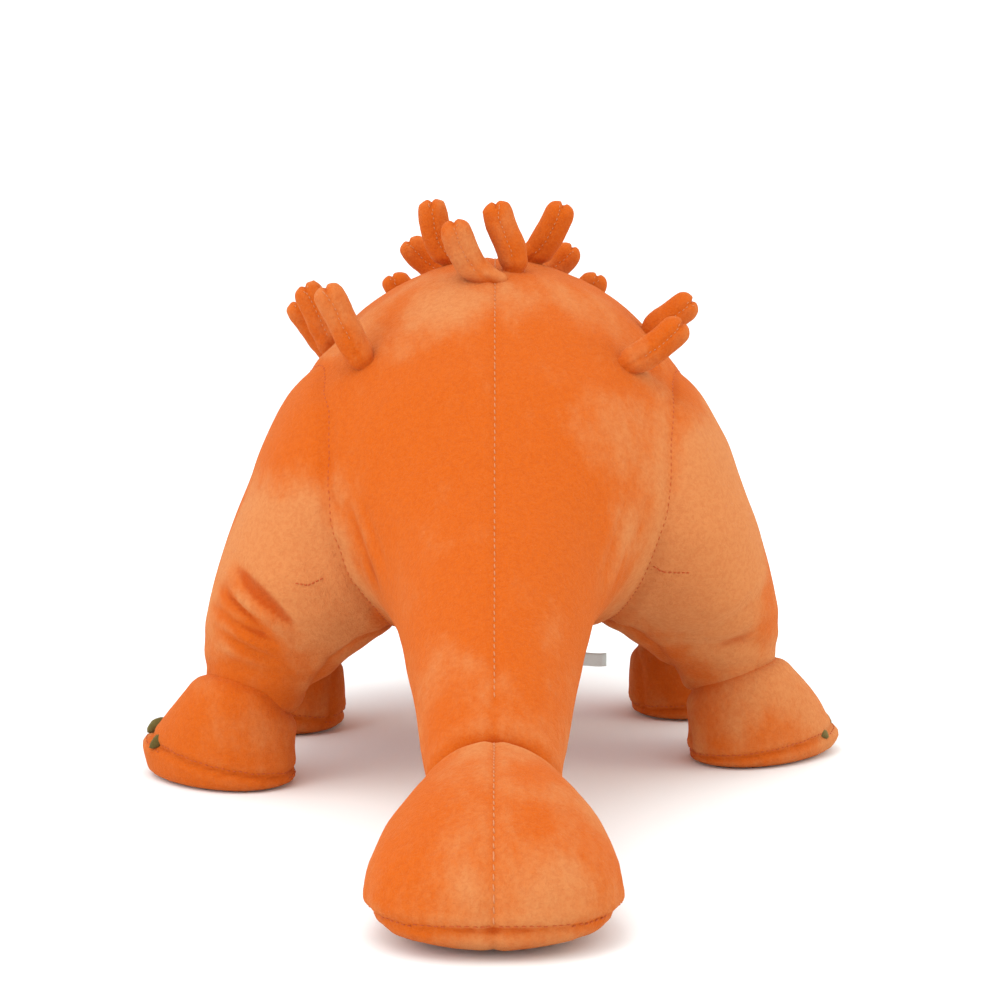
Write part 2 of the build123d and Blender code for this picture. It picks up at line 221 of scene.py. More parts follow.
# third colour: dark tuft grain, and painted shade in seam grooves and fold valleys
ORANGE = plush("orange_plush", (0.518, 0.093, 0.0055), (0.54, 0.192, 0.062), (0.36, 0.040, 0.002),
               (0.85, 0.45, 0.20))
OLIVE = plush("olive_claw_cloth", (0.105, 0.078, 0.022), (0.17, 0.135, 0.05), (0.05, 0.04, 0.01),
              (0.5, 0.45, 0.2))
print("cloths", ORANGE.name, OLIVE.name)

# %% [markdown]
# Thread, ribbon and plastic are the small finishes. The thread down the back is a paler peach than the
# cloth, which is why that seam shows as a row of light ticks; the other seams have a thread as dark as
# the folded cloth in them.

# %% Small finishes


def plain_finish(name, colour, roughness, grain_scale, bump_depth, sheen=0.0, coat=0.0):
    paint = bpy.data.materials.new(name)
    paint.use_nodes = True
    nodes, links = paint.node_tree.nodes, paint.node_tree.links
    shader = nodes["Principled BSDF"]
    place = nodes.new("ShaderNodeTexCoord").outputs["Object"]
    grain = speckle(nodes, links, place, grain_scale, 3.0)
    darker = tuple(channel * 0.7 for channel in colour)
    links.new(mixed(nodes, links, grain, darker, colour), shader.inputs["Base Color"])
    shader.inputs["Roughness"].default_value = roughness
    shader.inputs["Sheen Weight"].default_value = sheen
    shader.inputs["Coat Weight"].default_value = coat
    bump = nodes.new("ShaderNodeBump")
    bump.inputs["Strength"].default_value = 0.4
    bump.inputs["Distance"].default_value = bump_depth
    links.new(grain, bump.inputs["Height"])
    links.new(bump.outputs["Normal"], shader.inputs["Normal"])
    return paint


PEACH_THREAD = plain_finish("peach_thread", (0.60, 0.215, 0.080), 0.8, 2500.0, 0.0001)
ORANGE_THREAD = plain_finish("orange_thread", (0.50, 0.078, 0.006), 0.8, 2500.0, 0.0001)
DARK_THREAD = plain_finish("dark_thread", (0.05, 0.02, 0.012), 0.6, 2500.0, 0.0001, sheen=0.2)
RIBBON = plain_finish("label_ribbon", (0.46, 0.46, 0.44), 0.5, 1800.0, 0.0001, sheen=0.3)
EYE = plain_finish("eye_plastic", (0.010, 0.008, 0.006), 0.10, 90.0, 0.00001, coat=1.0)
WASHER = plain_finish("washer_plastic", (0.8, 0.8, 0.77), 0.5, 200.0, 0.0001)

# %% [markdown]
# Every bag starts as a row of rings along a line, bridged into a closed form, as a pattern cutter
# would draw sections through the stuffed shape. A ring is a circle pulled to a rounder or squarer
# oval, and its widest line may lie low, because a stuffed bag sags.

# %% Rings to a closed form
RING_POINTS = 48


def add_ring(bm, centre, side, up, down, power_up=2.0, power_down=2.0):
    """Oval ring round centre; side, up and down are vectors as long as its half sizes."""
    verts = bmesh.ops.create_circle(bm, cap_ends=False, segments=RING_POINTS, radius=1.0)["verts"]
    for vert in verts:
        x, y = vert.co.x, vert.co.y
        power = power_up if y > 0 else power_down
        share = (abs(x) ** power + abs(y) ** power) ** (-1.0 / power)
        rise = Vector(up) if y > 0 else Vector(down)
        vert.co = Vector(centre) + Vector(side) * (x * share) + rise * (y * share)
    return list({edge for vert in verts for edge in vert.link_edges})


def closed_form(name, rings):
    """Bridge rings, given as arguments of add_ring, and close both ends."""
    bm = bmesh.new()
    loops = [add_ring(bm, *ring) for ring in rings]
    for first, second in zip(loops, loops[1:]):
        bmesh.ops.bridge_loops(bm, edges=first + second)
    bmesh.ops.edgeloop_fill(bm, edges=loops[0])
    bmesh.ops.edgeloop_fill(bm, edges=loops[-1])
    bmesh.ops.recalc_face_normals(bm, faces=bm.faces)
    mesh = bpy.data.meshes.new(name)
    bm.to_mesh(mesh)
    bm.free()
    form = bpy.data.objects.new(name, mesh)
    bpy.context.collection.objects.link(form)
    return form


def upright_ring(y, top, low, half, power_up=2.0, power_down=2.2, widest=None, inset=0.0):
    """Ring across the body at one y, in millimetres; widest is the height of its widest line."""
    middle = (top + low) / 2 if widest is None else widest
    return (Vector((0, y, middle)) * MM, ACROSS * (half - inset) * MM, UP * (top - inset - middle) * MM,
            UP * (middle - low - inset) * MM, power_up, power_down)


def level_ring(centre, side, rise):
    """Ring with the same half size on both sides of its middle."""
    return (centre, side, rise, rise, 2.1, 2.1)


# %% [markdown]
# The closed form is remeshed into even squares and then put through Blender's cloth solver, with air
# pressure inside for the stuffing and the seams pinned. At this stiffness the solver moves each bag by
# only about 0.1 mm on average, or less, so the round shape is the drawn one. How far a point may move is
# capped, and the solver is taken off at the end.

# %% Stuffing by cloth simulation
SWELL = 3.0 * MM


def coordinates(mesh):
    co = np.zeros(len(mesh.vertices) * 3)
    mesh.vertices.foreach_get("co", co)
    return co.reshape(-1, 3)


def normals(mesh):
    found = np.zeros(len(mesh.vertices) * 3)
    mesh.vertices.foreach_get("normal", found)
    return found.reshape(-1, 3)


def set_coordinates(mesh, co):
    mesh.vertices.foreach_set("co", co.ravel())
    mesh.update()


def apply_modifiers(piece):
    """Keep what the modifiers make and take them off."""
    bpy.context.view_layer.update()
    graph = bpy.context.evaluated_depsgraph_get()
    made = bpy.data.meshes.new_from_object(piece.evaluated_get(graph))
    piece.modifiers.clear()
    old = piece.data
    piece.data = made
    made.name = piece.name
    bpy.data.meshes.remove(old)
    return piece


def even_mesh(piece, size, smoothing):
    """Voxel remesh into squares of one size and relax the steps."""
    remesh = piece.modifiers.new("even", "REMESH")
    remesh.mode = "VOXEL"
    remesh.voxel_size = size
    remesh.use_smooth_shade = True
    relax = piece.modifiers.new("relax", "SMOOTH")
    relax.factor = 0.5
    relax.iterations = smoothing
    return apply_modifiers(piece)


def finer(piece, levels=1):
    subdivide = piece.modifiers.new("finer", "SUBSURF")
    subdivide.levels = levels
    subdivide.render_levels = levels
    return apply_modifiers(piece)


def nothing_held(co):
    return np.zeros(len(co))


def stuff(piece, held, swell=SWELL, pressure=5.0):
    """Blow the bag up; held(co) is a share from 0, free, to 1, pinned, for each point."""
    rest = coordinates(piece.data)
    group = piece.vertex_groups.new(name="held")
    for index, share in enumerate(held(rest)):
        if share > 0.02:
            group.add([index], float(share), "REPLACE")
    cloth = piece.modifiers.new("stuffing", "CLOTH")
    settings = cloth.settings
    settings.quality = 4
    settings.mass = 0.3
    settings.tension_stiffness = 8
    settings.compression_stiffness = 8
    settings.shear_stiffness = 4
    settings.bending_stiffness = 0.6
    settings.use_pressure = True
    settings.uniform_pressure_force = pressure
    settings.vertex_group_mass = "held"
    settings.effector_weights.gravity = 0
    cloth.collision_settings.use_self_collision = False
    scene = bpy.context.scene
    for number in range(1, 21):
        scene.frame_set(number)
    graph = bpy.context.evaluated_depsgraph_get()
    blown = coordinates(piece.evaluated_get(graph).data)
    piece.modifiers.clear()
    piece.vertex_groups.clear()
    scene.frame_set(1)
    move = blown - rest
    length = np.linalg.norm(move, axis=1)
    share = np.minimum(1, swell / np.maximum(length, 1e-9))
    set_coordinates(piece.data, rest + move * share[:, None])
    print(piece.name, "swelled by", round(float(np.minimum(length, swell).mean()) / MM, 2), "mm")
    return finer(piece)


# %% [markdown]
# Small shapes come after the solver, as moves of each point in or out along its normal: the valley that
# a seam pulls, the pucker beside it, slow lumps of filling and the folds where a limb meets the body.

# %% Pressing shapes into the cloth


def fade(value, low, high):
    """Smooth step from 0 at low to 1 at high."""
    share = np.clip((value - low) / (high - low), 0, 1)
    return share * share * (3 - 2 * share)


def hill(value, width):
    """Smooth bump of height 1 round value 0."""
    return np.exp(-((value / width) ** 2))


def wobble(co, size, seed):
    """Smooth noise from -1 to 1 with features of one size."""
    shift = Vector((seed * 3.7, seed * 1.3, seed * 2.1))
    return np.array([noise.noise(Vector(point) / size + shift) for point in co])


def point_value(mesh, name, values=None):
    """Read one number per point, or write it when values are given."""
    layer = mesh.attributes.get(name) or mesh.attributes.new(name, "FLOAT", "POINT")
    if values is not None:
        layer.data.foreach_set("value", np.asarray(values, dtype=np.float32))
    found = np.zeros(len(mesh.vertices), dtype=np.float32)
    layer.data.foreach_get("value", found)
    return found


def press(piece, rule, noted=1.0):
    """Move each point along its normal by what rule(co, normal) gives, in metres, and note the relief."""
    mesh = piece.data
    co, outward = coordinates(mesh), normals(mesh)
    rise = rule(co, outward)
    set_coordinates(mesh, co + outward * rise[:, None])
    point_value(mesh, "relief", point_value(mesh, "relief") + noted * rise / MM)
    return piece


def lumps(co, seed, height=0.8 * MM):
    return wobble(co, 42 * MM, seed) * height + wobble(co, 17 * MM, seed + 5) * 0.3 * height


def seam(co, distance, depth=1.6 * MM, width=1.9 * MM, seed=1):
    """Cross-section of a seam: a narrow cut between two soft shoulders, with small gathers."""
    distance = np.abs(distance)
    cut = -depth * hill(distance, width)
    shoulder = 0.3 * depth * hill(distance - 2.6 * width, 1.4 * width)
    near = hill(distance, 7 * MM)
    gathers = np.zeros(len(co))
    close = near > 0.02
    gathers[close] = wobble(co[close], 6 * MM, seed) * near[close] * 0.4 * MM
    return cut + shoulder + gathers


def along(co, start, end):
    """Distance from the line start-end, and the place along it from 0 to 1."""
    start, end = np.array(start), np.array(end)
    run = end - start
    place = np.clip((co - start) @ run / (run @ run), 0, 1)
    return np.linalg.norm(co - start - place[:, None] * run, axis=1), place


def fold(co, outward, start, end, depth, width):
    """Fold on the back of the toy, from start to end, (x, z) in millimetres: a valley beside a ridge."""
    flat = co * np.array((1, 0, 1))
    line = [np.array((x, 0, z)) * MM for x, z in (start, end)]
    distance, place = along(flat, *line)
    run = line[1] - line[0]
    above = np.sign((flat - line[0]) @ np.array((-run[2], 0, run[0])))
    strength = np.sin(np.pi * np.clip(0.04 + place * 0.92, 0, 1)) ** 0.8 * fade(outward[:, 1], 0.0, 0.35)
    ridge = hill(distance * above - 1.6 * width, 1.1 * width)
    return strength * depth * MM * (0.8 * ridge - hill(distance, width))


def tree_of(piece):
    bm = bmesh.new()
    bm.from_mesh(piece.data)
    tree = BVHTree.FromBMesh(bm)
    bm.free()
    return tree


def gap_to(co, tree, reach):
    """Signed distance to another bag, outside it positive; reach where it is further than reach."""
    gaps = np.full(len(co), reach)
    for index, point in enumerate(co):
        found, outward, _, distance = tree.find_nearest(Vector(point), reach)
        if found is not None:
            gaps[index] = math.copysign(distance, (Vector(point) - found).dot(outward))
    return gaps


def sew_down(piece, tree, depth=2.2 * MM, width=4 * MM):
    """Pull a bag in where it meets another one, so that the join reads as a sewn valley."""
    def rule(co, outward):
        gaps = gap_to(co, tree, 4 * width)
        return -depth * hill(gaps, width) + 0.25 * depth * hill(gaps - 2.5 * width, width)
    return press(piece, rule)


def ease_in(piece, tree, height=4 * MM, width=18 * MM):
    """Let a bag rise softly towards another one it is let into, so that the two meet almost flush."""
    def rule(co, outward):
        share = np.clip(1 - np.abs(gap_to(co, tree, width)) / width, 0, 1)
        return height * share ** 2
    return press(piece, rule, noted=0)


# %% [markdown]
# How the pile has been stroked is a slow pattern over the whole toy. A few named places are painted
# pale and a few are left deep; the pale patches on the outside of the right haunch are painted rim
# light, the others stand for brushed pile.

# %% Nap, painted light and shade, and finish
PALE_NAP_AND_RIM_LIGHT = (             # (x, y, z, radius in mm, how pale)
    (104, 25, 122, 30, 0.85), (78, 40, 96, 26, 0.8), (96, 30, 100, 24, 0.5), (132, 0, 130, 16, 0.5),
    # the right haunch patches in this line are painted rim light
    (-118, 10, 160, 50, 0.8), (-112, 15, 105, 46, 0.75), (-100, 20, 80, 30, 0.4), (-130, -20, 62, 22, 0.35),
    (30, -10, 250, 36, 0.55), (-30, -10, 252, 30, 0.25), (-40, 30, 165, 26, 0.35), (-58, 45, 140, 22, 0.4),
    (-150, -60, 32, 26, 0.55), (168, -40, 32, 18, 0.5), (0, 315, 16, 26, 0.5), (-28, 312, 26, 20, 0.3),
    (0, 235, 66, 26, 0.35), (0, -300, 130, 40, 0.2), (18, 55, 190, 40, -0.3), (-22, 60, 170, 30, -0.3),
    (0, 110, 120, 50, -0.35), (128, 2, 76, 22, 0.35), (-135, -45, 42, 22, 0.5),
    (118, 12, 84, 20, -0.4), (110, -10, 190, 26, -0.4), (120, 0, 60, 30, -0.3),
)


def pile_lay_and_painted_light(co, relief):
    """Nap value of each point, about 0 for deep to 1 for pale; raised relief gets painted highlight, sunk
    relief painted shade.
    """
    stretched = co * np.array((1.0, 0.6, 0.7))
    value = 0.20 + 0.36 * wobble(stretched, 36 * MM, 8) + 0.26 * wobble(stretched, 14 * MM, 9)
    # painted highlight and shade: points pressed out are painted paler, points pressed in deeper
    value += 0.16 * np.clip(relief, -2.5, 2.5)
    # named pale and deep patches; those on the right haunch are painted rim light
    for x, y, z, radius, strength in PALE_NAP_AND_RIM_LIGHT:
        away = np.linalg.norm(co - np.array((x, y, z)) * MM, axis=1)
        value += strength * hill(away, radius * MM)
    return np.clip(value, 0, 1.1)


def finish(piece, paint, slot, *nodes, fill=0.8):
    """Give a piece its cloth, and hide the CAD parts that it stands for."""
    piece.data.materials.clear()
    piece.data.materials.append(paint)
    piece.data.polygons.foreach_set("use_smooth", [True] * len(piece.data.polygons))
    relief = point_value(piece.data, "relief")
    # nap holds brushed pile plus painted highlight, painted shade and painted rim light
    point_value(piece.data, "nap", pile_lay_and_painted_light(coordinates(piece.data), relief))
    # painted shade: groove grows with how deep the cloth was pressed in
    point_value(piece.data, "groove", np.clip((-relief - 0.6) / 1.6, 0, 1))
    if nodes:
        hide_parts(*nodes)
    return piece


# %% [markdown]
# A stitch is a short bead of thread half sunk in the seam. A row of them is one small mesh laid along a
# path, and each path is first dropped on to the cloth it is sewn through.

# %% Stitches


def on_cloth(tree, point, ahead, across):
    """The cloth next to a point; with across given, the cloth straight under it."""
    if across is not None:
        outward = across.cross(ahead).normalized()
        outward = outward if outward.z > 0 or ahead.z < -0.5 else -outward
        place, normal, _, _ = tree.ray_cast(point + outward * 30 * MM, -outward)
        if place is not None:
            return place, normal
    place, normal, _, _ = tree.find_nearest(point)
    return place, normal


def stitch_row(name, path, tree, paint, pitch=4.1, length=3.5, thick=0.40, slant=0.0, lift=0.1, across=None):
    """Row of stitches along a path of points, in metres, lying on the surface in tree."""
    bm = bmesh.new()
    walked, due = 0.0, pitch * 0.5 * MM
    for start, end in zip(path, path[1:]):
        start, end = Vector(start), Vector(end)
        run = (end - start).length
        while run > 0 and due <= walked + run:
            ahead = (end - start).normalized()
            place, outward = on_cloth(tree, start.lerp(end, (due - walked) / run), ahead, across)
            ahead = (ahead - outward * ahead.dot(outward)).normalized()
            cross = outward.cross(ahead)
            ahead = (ahead + cross * slant).normalized()
            cross = outward.cross(ahead)
            turn = Matrix((ahead, cross, outward)).transposed().to_4x4()
            size = Matrix.Diagonal((length / 2 * MM, thick * MM, thick * MM, 1))
            spot = Matrix.Translation(place + outward * lift * MM)
            bmesh.ops.create_icosphere(bm, subdivisions=1, radius=1.0, matrix=spot @ turn @ size)
            due += pitch * MM
        walked += run
    mesh = bpy.data.meshes.new(name)
    bm.to_mesh(mesh)
    bm.free()
    row = bpy.data.objects.new(name, mesh)
    bpy.context.collection.objects.link(row)
    mesh.materials.append(paint)
    mesh.polygons.foreach_set("use_smooth", [True] * len(mesh.polygons))
    return row


# %% [markdown]
# A seamed bag is cut where its panels meet. A plane cut makes a clean edge on both sides, and the new edge
# is turned inwards a little, like a seam allowance, so no gap opens between the two panels.

# %% Cutting panels
ALLOWANCE = 2.0 * MM


def cut_panel(piece, name, planes):
    """Copy of piece kept on the positive side of each (point, normal) plane, its edges turned in."""
    bm = bmesh.new()
    bm.from_mesh(piece.data)
    bm.normal_update()
    carried = bm.verts.layers.float_vector.new("carried_normal")
    for vert in bm.verts:
        vert[carried] = vert.normal
    for point, normal in planes:
        everything = bm.verts[:] + bm.edges[:] + bm.faces[:]
        bmesh.ops.bisect_plane(bm, geom=everything, dist=1e-6, plane_co=point, plane_no=normal,
                               clear_inner=True)
    rim = [edge for edge in bm.edges if edge.is_boundary]
    if rim:
        turned = bmesh.ops.extrude_edge_only(bm, edges=rim)["geom"]
        fresh = [item for item in turned if isinstance(item, bmesh.types.BMVert)]
        for vert in fresh:
            vert.co -= vert[carried].normalized() * ALLOWANCE
    mesh = bpy.data.meshes.new(name)
    bm.to_mesh(mesh)
    bm.free()
    panel = bpy.data.objects.new(name, mesh)
    bpy.context.collection.objects.link(panel)
    carry_normals(panel)
    return panel


def carry_normals(panel):
    """Shade the cut edge with the uncut bag's normals, so two panels meet without a line."""
    mesh = panel.data
    stored = np.zeros(len(mesh.vertices) * 3)
    mesh.attributes["carried_normal"].data.foreach_get("vector", stored)
    stored = stored.reshape(-1, 3)
    stored /= np.maximum(np.linalg.norm(stored, axis=1), 1e-9)[:, None]
    mesh.polygons.foreach_set("use_smooth", [True] * len(mesh.polygons))
    mesh.normals_split_custom_set_from_vertices(stored.tolist())
    mesh.attributes.remove(mesh.attributes["carried_normal"])


# %% [markdown]
# The body and the whole tail are one long bag on the real toy: the two back panels run from the neck over
# the rump and down to the club without a break. It is stuffed in one piece here too, so its outline
# stays smooth, and cut afterwards.

# %% Body and tail bag
BODY_RINGS = (          # (y, top z, bottom z, half width, power above, power below)
    (-228, 150, 102, 24, 2, 2), (-222, 170, 82, 44, 2, 2), (-205, 199, 72, 66, 1.9, 2.2),
    (-175, 227, 67, 86, 1.9, 2.3), (-135, 249, 66, 99, 1.9, 2.3), (-85, 261, 66, 105, 1.9, 2.3),
    (-40, 256, 66, 105, 1.9, 2.2), (0, 237, 66, 99, 1.95, 1.85), (35, 212, 65, 82, 2.1, 1.5),
    (60, 187, 61, 64, 2.1, 1.6), (85, 164, 54, 51, 2.1, 1.85), (110, 144, 44, 45, 2.05, 2),
    (140, 121, 32, 39, 2, 2), (170, 98, 23, 35, 2, 2), (195, 80, 18, 31.5, 2, 2), (209, 70, 17, 29, 2, 2),
    (220, 58, 24, 20, 2, 2),
)
BODY_INSET = 2.0
BELLY_POINT = Vector((0, 40, 60)) * MM
BELLY_NORMAL = Vector((0, 0.185, 1)).normalized()


def belly_gap(co):
    """Distance from the plane of the belly seam."""
    return (co - np.array(BELLY_POINT)) @ np.array(BELLY_NORMAL)


def centre_hold(co):
    """The centre seam is held on the upper side, the belly seams lower down."""
    centre = hill(co[:, 0], 3 * MM) * fade(belly_gap(co), 0, 8 * MM)
    low = hill(belly_gap(co), 4 * MM) * (1 - fade(co[:, 1], 0.10, 0.13))
    return np.clip(centre + low, 0, 1)


TAIL_FOLDS = (          # fine folds that run down from the haunch seam to the tail, (x, z) ends in mm
    ((76, 150), (60, 108), 1.7, 2.4), ((70, 146), (55, 104), 1.4, 2.2), ((72, 128), (52, 92), 1.8, 2.4),
    ((64, 150), (50, 116), 1.2, 2.2), ((62, 122), (48, 90), 1.4, 2.2),
)


def body_shape(co, outward):
    shape = lumps(co, 4)
    shape += seam(co, co[:, 0], 0.8 * MM, seed=2) * fade(outward[:, 2], -0.4, 0.0)
    shape += seam(co, belly_gap(co), seed=3) * (1 - fade(co[:, 1], 0.10, 0.13))
    for start, end, depth, width in TAIL_FOLDS:
        for side, share in ((1, 1.0), (-1, 0.6)):
            ends = [(side * x, z) for x, z in (start, end)]
            shape += fold(co, outward, *ends, depth * share, width * MM)
    shape += fold(co, outward, (-72, 216), (-82, 200), 1.8, 3 * MM)
    return shape


rings = [upright_ring(*station, inset=BODY_INSET) for station in BODY_RINGS]
body = even_mesh(closed_form("body_and_tail", rings), 4.0 * MM, 6)
stuff(body, centre_hold)
press(body, body_shape)
print("body and tail", len(body.data.polygons), "faces")

# %% [markdown]
# Each leg is a bag of its own: a broad round thigh let into the side of the body, narrowing to the ankle.

# %% Leg bags
REAR = {
    "hip": (-39, 128), "stance": 4, "stride": 33, "shift": 0,
    "rings": (          # (z, x, half x, half y, shift in y)
        (206, 82, 6, 10, 0), (199, 82, 14, 27, 0), (188, 82, 25, 47, 0), (168, 82, 37, 64, 0),
        (147, 83.5, 43.5, 73, 0), (128, 86, 49, 76, 1), (107, 88.5, 53, 74, 2), (90, 92, 53.5, 65, 3),
        (77, 100, 48, 53, 3), (66, 107, 41.5, 44, 1), (54, 114.5, 33, 37, 0), (45, 119, 26.5, 33, 0),
        (34, 120, 22, 28, 0),
    ),
    "bend": ((62, 85), (100, 50)),
    "inner": ((30, 88), (48, 82), (67, 76), (81, 66), (91, 50), (97, 30), (101, 6)),
}
FRONT = {
    "hip": (-178, 98), "stance": 4, "stride": 22, "shift": 4,
    "rings": (
        (152, 70, 8, 10, 0), (146, 72, 18, 24, 0), (132, 75, 28, 40, 0), (115, 78, 34, 47, 0),
        (98, 82, 36, 49, 0), (82, 87, 35, 45, 1), (68, 93, 32, 39, 2), (56, 99, 29, 34, 3),
        (44, 104, 26, 31, 5), (34, 106, 21, 27, 6),
    ),
    "bend": ((58, 78), (92, 48)),
    "inner": ((40, 74), (60, 68), (72, 56), (80, 44), (84, 30), (86, 6)),
}
SIDES = (("left", 1), ("right", -1))
LEFT_FOLDS = (          # sag folds on the back of the lower left leg, (x, z) ends in mm, depth, width
    ((130, 114), (94, 82), 2.6, 3.6), ((137, 101), (112, 84), 2.3, 3.0), ((138, 91), (106, 75), 2.8, 3.2),
    ((136, 80), (108, 67), 2.4, 3.0), ((128, 106), (112, 93), 1.5, 2.6),
)
RIGHT_FOLDS = (
    ((-140, 98), (-108, 76), 1.3, 4.5), ((-138, 76), (-108, 64), 1.2, 4.5),
)


def inner_gap(leg, side):
    """Distance from the seam of the inner leg panel, a bent sheet that lies along y."""
    line = np.array([(side * x + leg["shift"], 0, z) for x, z in leg["inner"]]) * MM

    def gap(co):
        flat = co * np.array((1, 0, 1))
        return np.min([along(flat, a, b)[0] for a, b in zip(line, line[1:])], axis=0)
    return gap


def leg_bag(leg, row, name, side):
    hip_y, hip_z = leg["hip"]
    rings = []
    for z, x, half_x, half_y, shift in leg["rings"]:
        lean = side * (leg["stance"] + leg["stride"] * max(0, hip_z - z) / hip_z)
        centre = Vector((side * x + leg["shift"], hip_y + shift + lean, z)) * MM
        rings.append(level_ring(centre, ACROSS * (half_x - 2) * MM, Vector((0, half_y - 2, 0)) * MM))
    bag = even_mesh(closed_form(f"{row}_{name}_leg", rings), 4.5 * MM, 5)
    gap = inner_gap(leg, side)
    stuff(bag, lambda co: hill(gap(co), 3 * MM) * (co[:, 2] < 75 * MM))
    return bag


def leg_shape(leg, row, name, side, seed):
    gap = inner_gap(leg, side)
    folds = {"rear_left": LEFT_FOLDS, "rear_right": RIGHT_FOLDS}.get(f"{row}_{name}", ())

    def rule(co, outward):
        shape = lumps(co, seed, 1.1 * MM) + seam(co, gap(co), 1.5 * MM, 1.8 * MM, seed + 1)
        low = 1 - fade(co[:, 2], 0.055, 0.10)
        shape += np.sin(co[:, 2] / (2.6 * MM) + 5 * wobble(co, 40 * MM, seed)) * 0.35 * MM * low
        for start, end, depth, width in folds:
            shape += fold(co, outward, start, end, depth, width * MM)
        return shape
    return rule


legs = {}
for leg, row in ((REAR, "rear"), (FRONT, "front")):
    for name, side in SIDES:
        bag = leg_bag(leg, row, name, side)
        press(bag, leg_shape(leg, row, name, side, 11 + 7 * len(legs)))
        legs[f"{row}_{name}"] = bag
print("leg bags", list(legs))

# %% [markdown]
# The haunch seam is where the leg bag and the body bag meet. Both are pulled in along it, and a row of
# stitches follows the line on which their surfaces cross.

# %% Sew the legs to the body
body_tree = tree_of(body)
leg_trees = {key: tree_of(bag) for key, bag in legs.items()}
for key, bag in legs.items():
    ease_in(bag, body_tree)
for tree in leg_trees.values():
    ease_in(body, tree)
body_tree = tree_of(body)
leg_trees = {key: tree_of(bag) for key, bag in legs.items()}
for key, bag in legs.items():
    sew_down(bag, body_tree, 1.0 * MM, 2.2 * MM)
for tree in leg_trees.values():
    sew_down(body, tree, 1.0 * MM, 2.2 * MM)
body_tree = tree_of(body)


def crossing(piece, tree, centre, reach):
    """Where two bags cross, as points in order round centre, seen along x."""
    co = coordinates(piece.data)
    gaps = gap_to(co, tree, reach)
    found = []
    for edge in piece.data.edges:
        a, b = edge.vertices
        if (gaps[a] < 0) != (gaps[b] < 0) and abs(gaps[a]) < reach and abs(gaps[b]) < reach:
            share = gaps[a] / (gaps[a] - gaps[b])
            found.append(co[a] + (co[b] - co[a]) * share)
    found = np.array(found)
    turn = np.arctan2(found[:, 2] - centre[1], found[:, 1] - centre[0])
    order = np.round(turn / math.radians(4)).astype(int)
    return {int(step): found[order == step].mean(axis=0) for step in np.unique(order)}


def sew_leg(key, leg):
    side = 1 if key.endswith("left") else -1
    piece = legs[key]
    hip_y, hip_z = leg["hip"]
    hip_y += side * leg["stance"]
    steps = crossing(piece, body_tree, (hip_y * MM, hip_z * MM), 6 * MM)
    order = sorted(steps)
    runs = [[]]
    for before, step in zip([order[0]] + order, order):
        if step - before > 2 or (runs[-1] and np.linalg.norm(steps[step] - runs[-1][-1]) > 14 * MM):
            runs.append([])
        runs[-1].append(steps[step])
    tree = tree_of(piece)
    rows = []
    for number, run in enumerate(run for run in runs if len(run) > 3):
        row_name = f"{key}_haunch_stitches_{number + 1}"
        rows.append(stitch_row(row_name, run, tree, ORANGE_THREAD, 3.4, 2.2, 0.36))
    finish(piece, ORANGE, "orange_plush", f"{key}_outer_panel", f"{key}_inner_panel", f"{key}_stuffing")
    for item in [piece] + rows:
        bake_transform(item)
    print(key, "sewn with", len(rows), "rows")


for key in legs:
    sew_leg(key, REAR if key.startswith("rear") else FRONT)

# %% [markdown]
# The feet are short rounded shoes with the toes turned out. The sole is a panel of its own that wraps up
# round the edge and sticks out in front like a lip; the claws are tucked in just above that lip.

# %% Feet
REAR_FOOT = {"x": 138, "y": -40, "turn": 42, "length": 47, "width": 34, "step": 27, "shift": 0}
FRONT_FOOT = {"x": 113, "y": -170, "turn": 20, "length": 43, "width": 35, "step": 20, "shift": 4}
FOOT_RINGS = (          # (z, share of length, share of width, shift to the heel)
    (0.6, 0.90, 0.88, 0), (2.0, 0.97, 0.95, 0), (6, 1.0, 0.98, -1), (12, 1.01, 0.99, -1), (19, 0.95, 0.98, 2),
    (28, 0.87, 0.94, 5), (37, 0.76, 0.86, 9), (46, 0.64, 0.76, 13),
    (54, 0.50, 0.60, 16), (59, 0.30, 0.38, 17),
)
SOLE_RISE = {"left": 0.17, "right": 0.11}       # how steeply the sole seam climbs towards the little toe
SOLE_HEIGHT = {"left": 14, "right": 9.5}
CLAW_ANGLES = (-62, -21, 20, 60)
CLAW_RINGS = (          # (share of the length, share of the width)
    (-0.5, 0.8), (-0.2, 1.0), (0.15, 0.98), (0.45, 0.82), (0.7, 0.6), (0.87, 0.38), (0.96, 0.16),
)


def foot_axes(foot, side):
    turn = math.radians(foot["turn"])
    toe = Vector((side * math.sin(turn), -math.cos(turn), 0))
    return toe, Vector((side * math.cos(turn), math.sin(turn), 0))


def foot_middle(foot, side, z=0.0):
    return Vector((side * foot["x"] + foot["shift"], foot["y"] + side * foot["step"], z)) * MM


def sole_plane(foot, side):
    name = "left" if side > 0 else "right"
    outer = Vector((side * 0.94, -0.34, 0))
    return foot_middle(foot, side, SOLE_HEIGHT[name]), (UP - outer * SOLE_RISE[name]).normalized()


def claw(name, base, out, size):
    """Small blunt stuffed cone that points out and a little down."""
    rings = []
    side = out.cross(UP).normalized()
    rise = side.cross(out).normalized()
    for share, width in CLAW_RINGS:
        centre = base + out * share * size * 1.9 - UP * max(0, share) ** 2 * size * 0.5
        rings.append(level_ring(centre, side * width * size * 1.02, rise * width * size * 0.8))
    cone = even_mesh(closed_form(name, rings), 1.2 * MM, 2)
    press(cone, lambda co, outward: seam(co, (co - np.array(base)) @ np.array(side), 0.5 * MM, 0.7 * MM, 3))
    return finish(cone, OLIVE, "claw_cloth")


